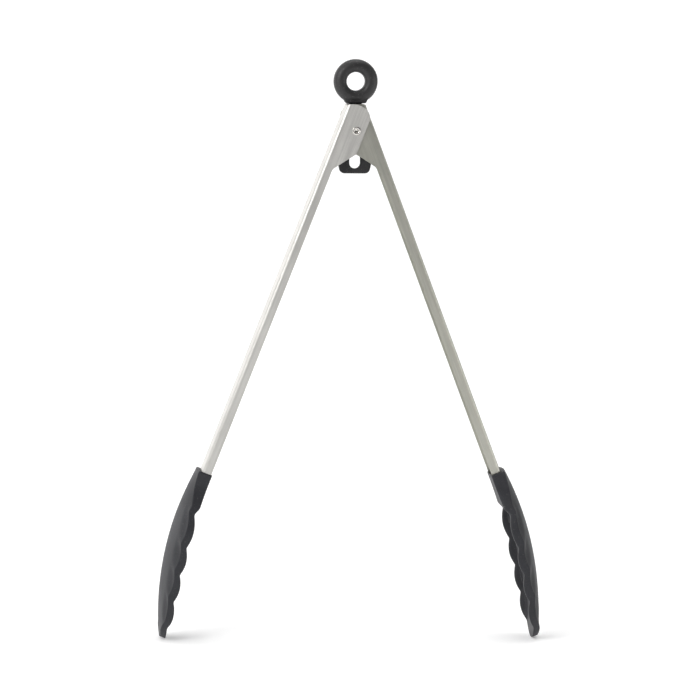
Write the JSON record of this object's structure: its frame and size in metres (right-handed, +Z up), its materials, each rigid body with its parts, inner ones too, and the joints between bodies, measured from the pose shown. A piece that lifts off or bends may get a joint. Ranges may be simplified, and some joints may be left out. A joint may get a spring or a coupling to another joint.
{
  "type": "kitchen tongs",
  "caption": "Spring-loaded kitchen tongs with stainless channel arms, scalloped black silicone heads and a pull-ring lock at the pivot.",
  "frame": {"origin": "centre of the hanging hole in the pull ring", "axes": "+Z up along the tongs' line of symmetry with the heads below, +X across the opening from the left arm to the right arm, +Y along the hole and the pivot rivet, away from the rivet's flared end"},
  "size_m": [0.192, 0.038, 0.2906],
  "materials": {
    "brushed_stainless": "brushed along the arm",
    "nylon": "moulded glass-filled nylon",
    "silicone": "satin silicone",
    "bright_steel": "polished steel",
    "white_nylon": "natural nylon",
    "spring_steel": "drawn spring wire",
    "plate_plastic": "fine matte texture",
    "ring_plastic": "soft satin rubber"
  },
  "bodies": {
    "lock_slider": {"ring_grip": "ring_plastic", "lock_plate": "plate_plastic"},
    "pivot": {"pivot_rivet": "bright_steel", "rivet_washer": "bright_steel", "near_ear_washer": "white_nylon", "far_ear_washer": "white_nylon", "pivot_bush": "bright_steel", "plate_spacer": "white_nylon", "spring_washer": "white_nylon", "spring_sleeve": "white_nylon", "torsion_spring": "spring_steel"},
    "left_arm": {"left_arm": "brushed_stainless", "left_head_core": "nylon", "left_head_cover": "silicone", "left_core_rivets": "bright_steel"},
    "right_arm": {"right_arm": "brushed_stainless", "right_head_core": "nylon", "right_head_cover": "silicone", "right_core_rivets": "bright_steel"}
  },
  "joints": [
    {"name": "lock_slide", "type": "slide", "parent": "lock_slider", "child": "pivot", "axis": [0, 0, -1], "range_m": [0, 0.012]},
    {"name": "left_arm_hinge", "type": "hinge", "parent": "pivot", "child": "left_arm", "pos_m": [0, 0, -0.02425], "axis": [0, -1, 0], "range_deg": [0, 19.8], "stiffness_Nm_per_rad": 1.3, "springref_deg": -8.88, "deforming": ["torsion_spring"]},
    {"name": "right_arm_hinge", "type": "hinge", "parent": "pivot", "child": "right_arm", "pos_m": [0, 0, -0.02425], "axis": [0, 1, 0], "range_deg": [0, 19.8], "stiffness_Nm_per_rad": 1.3, "springref_deg": -8.88}
  ],
  "couplings": [
    {"joint": "right_arm_hinge", "follows": "left_arm_hinge", "ratio": 1}
  ]
}
